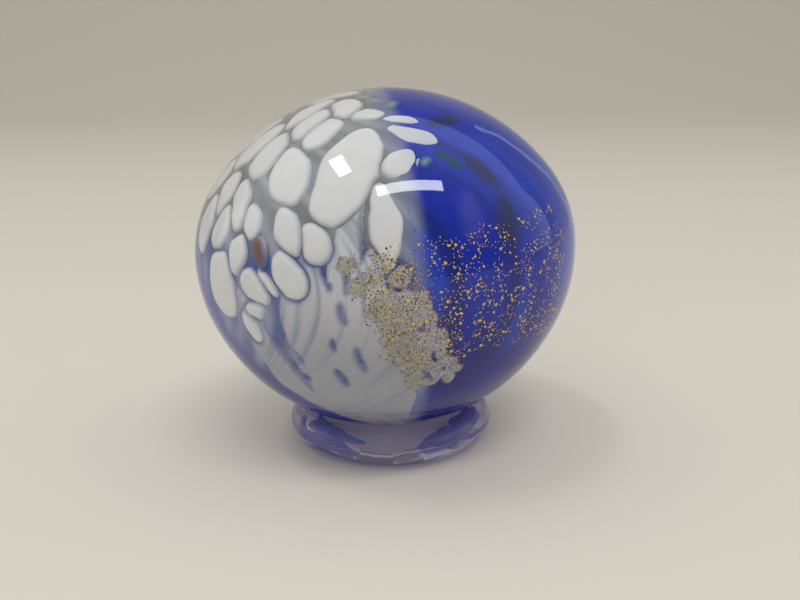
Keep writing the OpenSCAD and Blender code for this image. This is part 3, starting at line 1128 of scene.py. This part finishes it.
@dataclass
class Leaf:
    """Gold and silver leaf picked up on the colour and broken into flakes as the glass was blown."""

    form: GlobeForm
    net: Net
    under: np.ndarray
    inset: float = 5.08
    seed: int = 12
    to_silver: np.ndarray | None = None
    tiles: np.ndarray | None = None

    def flake_tree(self, name: str, material: bpy.types.Material) -> bpy.types.NodeTree:
        """Builds the node tree that scatters small leaf-shaped plates over a sheet.

        Args:
            name: The tree's name.
            material: What the flakes are made of.

        Returns:
            The tree, with inputs for the flakes' number, size, thickness and seed.
        """
        tree = bpy.data.node_groups.new(name, "GeometryNodeTree")
        face = tree.interface
        face.new_socket("Geometry", in_out="INPUT", socket_type="NodeSocketGeometry")
        for label in ("Density", "Spacing", "Flake radius", "Flake thickness", "Smallest", "Largest"):
            face.new_socket(label, in_out="INPUT", socket_type="NodeSocketFloat")
        face.new_socket("Seed", in_out="INPUT", socket_type="NodeSocketInt")
        face.new_socket("Geometry", in_out="OUTPUT", socket_type="NodeSocketGeometry")
        given = add_node(tree, "NodeGroupInput").outputs
        cover = add_node(tree, "GeometryNodeInputNamedAttribute", {"data_type": "FLOAT"}, {"Name": "cover"})
        points = add_node(
            tree,
            "GeometryNodeDistributePointsOnFaces",
            {"distribute_method": "POISSON"},
            {"Mesh": given["Geometry"], "Distance Min": given["Spacing"], "Density Max": given["Density"],
             "Density Factor": cover.outputs[0], "Seed": given["Seed"]},
        )
        plate = add_node(
            tree,
            "GeometryNodeMeshCylinder",
            {"fill_type": "NGON"},
            {"Vertices": 5, "Radius": given["Flake radius"], "Depth": given["Flake thickness"]},
        )
        low, high = (
            add_node(tree, "ShaderNodeCombineXYZ", inputs={0: given[label], 1: given[label], 2: 1.0})
            for label in ("Smallest", "Largest")
        )
        size = add_node(
            tree,
            "FunctionNodeRandomValue",
            {"data_type": "FLOAT_VECTOR"},
            {0: low.outputs[0], 1: high.outputs[0], "Seed": given["Seed"]},
        )
        spin = add_node(
            tree,
            "FunctionNodeRandomValue",
            {"data_type": "FLOAT"},
            {2: 0.0, 3: 2 * math.pi, "Seed": given["Seed"]},
        )
        turned = add_node(tree, "ShaderNodeCombineXYZ", inputs={2: spin.outputs[1]})
        placed = add_node(
            tree,
            "GeometryNodeInstanceOnPoints",
            inputs={"Points": points.outputs["Points"], "Instance": plate.outputs["Mesh"],
                    "Rotation": points.outputs["Rotation"], "Scale": size.outputs[0]},
        )
        rotated = add_node(
            tree,
            "GeometryNodeRotateInstances",
            inputs={"Instances": placed.outputs[0], "Rotation": turned.outputs[0]},
        )
        real = add_node(tree, "GeometryNodeRealizeInstances", inputs={0: rotated.outputs[0]})
        dressed = add_node(
            tree, "GeometryNodeSetMaterial", inputs={"Geometry": real.outputs[0], "Material": material}
        )
        add_node(tree, "NodeGroupOutput", inputs={0: dressed.outputs[0]})
        return tree

    def scatter(
        self, name: str, cover: np.ndarray, material: bpy.types.Material, sizes: dict[str, float | int]
    ) -> bpy.types.Object:
        """Scatters flakes over part of the layer and turns them into one mesh.

        Args:
            name: The finished piece's name.
            cover: Share of the greatest density at each point of the net.
            material: What the flakes are made of.
            sizes: Value of each of the tree's inputs.

        Returns:
            The finished piece.
        """
        faces = self.net.faces[(cover > 0)[self.net.faces].any(axis=1)]
        used, flat = np.unique(faces, return_inverse=True)
        points = self.form.seat(self.form.skin(self.net.out[used], self.inset))
        sheet = make_object(f"{name}_sheet", points, flat.reshape(-1, 3))
        attribute = sheet.data.attributes.new("cover", "FLOAT", "POINT")
        attribute.data.foreach_set("value", cover[used].astype(np.float32))
        tree = self.flake_tree(f"{name}_tree", material)
        modifier = sheet.modifiers.new("flakes", "NODES")
        modifier.node_group = tree
        for item in tree.interface.items_tree:
            if item.in_out == "INPUT" and item.name in sizes:
                modifier[item.identifier] = sizes[item.name]
        graph = bpy.context.evaluated_depsgraph_get()
        mesh = bpy.data.meshes.new_from_object(sheet.evaluated_get(graph), depsgraph=graph)
        bpy.data.objects.remove(sheet)
        mesh.name = name
        made = bpy.data.objects.new(name, mesh)
        bpy.context.scene.collection.objects.link(made)
        return made

    @staticmethod
    def flakes(
        density: float, spacing: float, radius: float, thickness: float, span: tuple[float, float], seed: int
    ) -> dict[str, float | int]:
        """Names the flake tree's inputs, with lengths in millimetres and the least and most size."""
        return {
            "Density": density,
            "Spacing": spacing * MM,
            "Flake radius": radius * MM,
            "Flake thickness": thickness * MM,
            "Smallest": span[0],
            "Largest": span[1],
            "Seed": seed,
        }

    def ragged(self, share: np.ndarray, amount: float) -> np.ndarray:
        """Breaks a cover of 0 to 1 into clusters with ragged edges."""
        clump = np.array([noise.noise(Vector(p) / 2.6) for p in self.net.at])
        return np.clip(share * (1 + amount * clump * 2) - amount * 0.35, 0, 1)

    def build(self) -> None:
        """Builds and dresses the gold flakes, the silver sheet and the specks in it."""
        # beaten gold leaf: warm yellow glints against the cobalt
        gold = LeafMetal("Gold_leaf", "#ffe27a", "#efb23a", metallic=0.3, roughness=0.45).material()
        # copper-rich leaf that tarnished in the heat: brown-gold specks that dirty the silver's edge
        tarnished = LeafMetal(
            "Tarnished_gold_leaf", "#9a7026", "#4a3414", metallic=0.2, roughness=0.6
        ).material()
        to_gold = solid_reach("gold_leaf", self.net)[0]
        self.to_silver, self.tiles = solid_reach("silver_leaf", self.net)
        area = self.ragged(smooth((3.6 - to_gold) / 2.4), 0.8)
        sizes = self.flakes(5.5e5, 0.7, 0.22, 0.05, (0.5, 1.7), self.seed)
        made = self.scatter("gold_leaf_flakes", area, gold, sizes)
        finish_piece(made, gold, "gold_leaf", "gold_leaf")
        sizes = self.flakes(2.6e6, 0.3, 0.11, 0.04, (0.5, 1.5), self.seed + 3)
        made = self.scatter("gold_leaf_specks", area, gold, sizes)
        finish_piece(made, gold, "gold_leaf")
        dull = self.ragged(smooth((4.5 - self.to_silver) / 3.0) * smooth((8.0 - to_gold) / 5.0), 0.5)
        sizes = self.flakes(3.0e6, 0.42, 0.17, 0.04, (0.4, 1.5), self.seed + 1)
        made = self.scatter("dull_leaf_flakes", dull, tarnished, sizes)
        finish_piece(made, tarnished, "gold_leaf")
        self.build_silver(tarnished)

    def build_silver(self, dark: bpy.types.Material) -> None:
        """Builds the crazed sheet of silver leaf, thin enough to see through, and the specks in it."""
        body = smooth((2.7 - self.to_silver) / 2.0)
        rough = np.array([noise.noise(Vector(p) / 1.1) for p in self.net.at])
        torn = np.array([noise.noise(Vector(p) / 4.0) for p in self.net.at])
        edge = np.where(body > 0.06, body - 0.5 + rough * 0.4 + torn * 0.4, -1.0)
        # the sheet is yellowed along the side that lies away from the gold
        high, turn = self.tiles[:, 2], np.arctan2(self.tiles[:, 1], self.tiles[:, 0])
        line = np.polyfit(high, turn, 2)
        here = np.arctan2(self.net.at[:, 1], self.net.at[:, 0]) - np.polyval(line, self.net.at[:, 2])
        warm = smooth(0.5 - here * np.hypot(self.net.at[:, 0], self.net.at[:, 1]) / 4.0)
        cool, yellowed = (np.array(linear(code)[:3]) for code in ("#cfd5de", "#c8c6b8"))
        tone = cool * (1 - warm[:, None]) + yellowed * warm[:, None]
        film = 0.8 * smooth(edge / 0.3)[:, None]
        sheet = patch(
            "silver_leaf_sheet",
            self.net,
            edge > 0,
            np.full(len(edge), self.inset + 0.02),
            self.inset + 0.1,
            self.under * (1 - film) + tone * film,
        )
        # silver leaf under glass: a soft grey film that lets the white below through
        silver = LeafMetal("Silver_leaf", "#ffffff", "#dcdcda", 0.7, 0.0, 0.55, sheer=True).material()
        finish_piece(sheet, silver, "silver_leaf", "silver_leaf")
        # silver sulphide: olive-grey grains that make the patch look crazed
        sulphide = LeafMetal(
            "Tarnished_silver_leaf", "#8d8560", "#6a6344", metallic=0.1, roughness=0.6
        ).material()
        sizes = self.flakes(2.4e7, 0.2, 0.085, 0.05, (0.5, 1.4), self.seed + 2)
        grains = np.where(edge > 0.02, 0.15 + 0.85 * warm, 0.0)
        made = self.scatter("silver_leaf_specks", grains, sulphide, sizes)
        finish_piece(made, sulphide, "silver_leaf")
        sizes = self.flakes(9e6, 0.3, 0.11, 0.05, (0.4, 1.5), self.seed + 4)
        made = self.scatter("silver_leaf_pits", np.where(edge > 0.02, 1 - 0.9 * warm, 0.0), dark, sizes)
        finish_piece(made, dark, "silver_leaf")


@dataclass(frozen=True)
class Highlight:
    """A long lamp, placed so that the glass mirrors it as a bar from one spot of its skin to another."""

    name: str
    start: tuple[float, float]
    end: tuple[float, float]
    width: float
    radiance: float
    colour: str = "#ffffff"
    away: float = 1.1


@dataclass
class Studio:
    """Pale floor and wall, soft light and the camera."""

    form: GlobeForm
    camera_at: tuple[float, float, float] = (3.0, -178.0, 84.7)
    pitch: float = 17.1
    roll: float = -0.4
    lens: float = 38.25
    floor_colour: str = "#e9e4da"
    sky: float = 0.92
    sky_front: float = 0.25
    highlights: tuple[Highlight, ...] = (
        Highlight("bar_lamp", (270.0, 40.0), (290.0, 40.0), 2.0, 12.0),
        Highlight("window_lamp", (255.0, 50.0), (260.0, 45.0), 2.5, 12.0),
    )

    def build(self) -> None:
        """Builds the stage, the lamps and the camera."""
        self.build_camera()
        self.build_stage()
        self.build_world()
        for lamp in self.highlights:
            self.build_highlight(lamp)
        self.build_fill()

    def build_camera(self) -> None:
        """Places the camera."""
        data = bpy.data.cameras.new("camera")
        data.lens, data.sensor_width, data.clip_start = self.lens, 36.0, 0.01
        made = bpy.data.objects.new("camera", data)
        turn = Matrix.Rotation(math.radians(90 - self.pitch), 4, "X") @ Matrix.Rotation(
            math.radians(self.roll), 4, "Z"
        )
        made.matrix_world = Matrix.Translation(Vector(self.camera_at) * MM) @ turn
        bpy.context.scene.collection.objects.link(made)
        bpy.context.scene.camera = made

    def build_stage(self) -> None:
        """Builds a floor that curves up into a wall behind the object."""
        bend, depth, rise, half = 0.35, 0.75, 1.6, 2.5
        line = [(-2.5, 0.0), (depth, 0.0)]
        turns = np.linspace(0, math.pi / 2, 24)[1:]
        line += [(depth + bend * math.sin(t), bend - bend * math.cos(t)) for t in turns]
        line.append((depth + bend, rise))
        points = np.array([(x, y, z) for y, z in line for x in (-half, half)])
        faces = [(2 * i, 2 * i + 1, 2 * i + 3, 2 * i + 2) for i in range(len(line) - 1)]
        made = make_object("studio_floor", points, faces)
        # matt background paper: a plain pale ground that holds the soft shadow
        material = bpy.data.materials.new("Pale_paper")
        material.use_nodes = True
        body = material.node_tree.nodes["Principled BSDF"]
        body.inputs["Base Color"].default_value = linear(self.floor_colour)
        body.inputs["Roughness"].default_value = 0.9
        made.data.materials.append(material)

    def build_world(self) -> None:
        """Makes the soft light all round, dimmer in front so that the glass keeps its depth."""
        world = bpy.data.worlds.new("soft_light")
        bpy.context.scene.world = world
        world.use_nodes = True
        tree = world.node_tree
        shade = tree.nodes["Background"]
        shade.inputs["Color"].default_value = linear("#f6f3ee")
        way = add_node(tree, "ShaderNodeTexCoord")
        parts = add_node(tree, "ShaderNodeSeparateXYZ", inputs={0: way.outputs["Generated"]})
        level = add_node(
            tree,
            "ShaderNodeMapRange",
            {"interpolation_type": "SMOOTHSTEP"},
            {"Value": parts.outputs["Y"], 1: -0.7, 2: 0.35, 3: self.sky_front, 4: self.sky},
        )
        tree.links.new(level.outputs[0], shade.inputs["Strength"])

    def mirrored(self, out: np.ndarray, away: float) -> tuple[Vector, Vector]:
        """Gives a place on the skin, and the place at a distance that it mirrors to the camera."""
        spot = Vector(self.form.seat(self.form.skin(out[None]))[0])
        normal = (Vector(self.form.seat(self.form.skin(out[None]) + out)[0]) - spot).normalized()
        to_camera = (Vector(self.camera_at) * MM - spot).normalized()
        return spot, spot + (2 * normal.dot(to_camera) * normal - to_camera).normalized() * away

    def build_highlight(self, lamp: Highlight) -> None:
        """Places a lamp where the glass mirrors it to the camera."""
        start, end = direction(*lamp.start), direction(*lamp.end)
        middle = (start + end) / np.linalg.norm(start + end)
        spot, place = self.mirrored(middle, lamp.away)
        first, last = self.mirrored(start, lamp.away)[1], self.mirrored(end, lamp.away)[1]
        across = np.cross(middle, end - start)
        beside = self.mirrored(middle + 0.01 * across / np.linalg.norm(across), 1.0)[0]
        shift = lamp.width * MM / (spot - beside).length
        side = self.mirrored(middle + 0.01 * shift * across / np.linalg.norm(across), lamp.away)[1] - place
        long_way, facing = (last - first).normalized(), (spot - place).normalized()
        data = bpy.data.lights.new(lamp.name, "AREA")
        data.shape = "RECTANGLE"
        data.size, data.size_y = (last - first).length, side.length
        data.energy = lamp.radiance * math.pi * data.size * data.size_y
        data.color = linear(lamp.colour)[:3]
        made = bpy.data.objects.new(lamp.name, data)
        x = (long_way - facing * long_way.dot(facing)).normalized()
        z = -facing
        turn = Matrix((x, z.cross(x), z)).transposed().to_4x4()
        made.matrix_world = Matrix.Translation((first + last) / 2) @ turn
        bpy.context.scene.collection.objects.link(made)

    def build_fill(self) -> None:
        """Places a broad soft lamp overhead that the glass doesn't mirror."""
        data = bpy.data.lights.new("soft_fill", "AREA")
        data.size, data.energy = 1.2, 3.0
        made = bpy.data.objects.new("soft_fill", data)
        made.location = (-0.5, -1.1, 1.0)
        made.rotation_euler = Vector((-0.5, -1.1, 0.96)).to_track_quat("Z", "Y").to_euler()
        made.visible_glossy = False
        made.visible_transmission = False
        bpy.context.scene.collection.objects.link(made)


def main() -> None:
    """Builds the paperweight's pieces in order, then the studio round it."""
    logging.basicConfig(level=logging.INFO, format="%(message)s")
    bpy.context.scene.view_settings.view_transform = "Standard"
    form = GlobeForm.from_frame()
    fine, coarse = Net(form, 8), Net(form, 7)
    painter = Painter(form)
    layer = ColourLayer(form, fine, coarse, painter)
    layer.build()
    Leaf(form, fine, layer.shown).build()
    Casing(form, coarse).build()
    Foot(form).build()
    Studio(form).build()


if __name__ == "__main__":
    main()
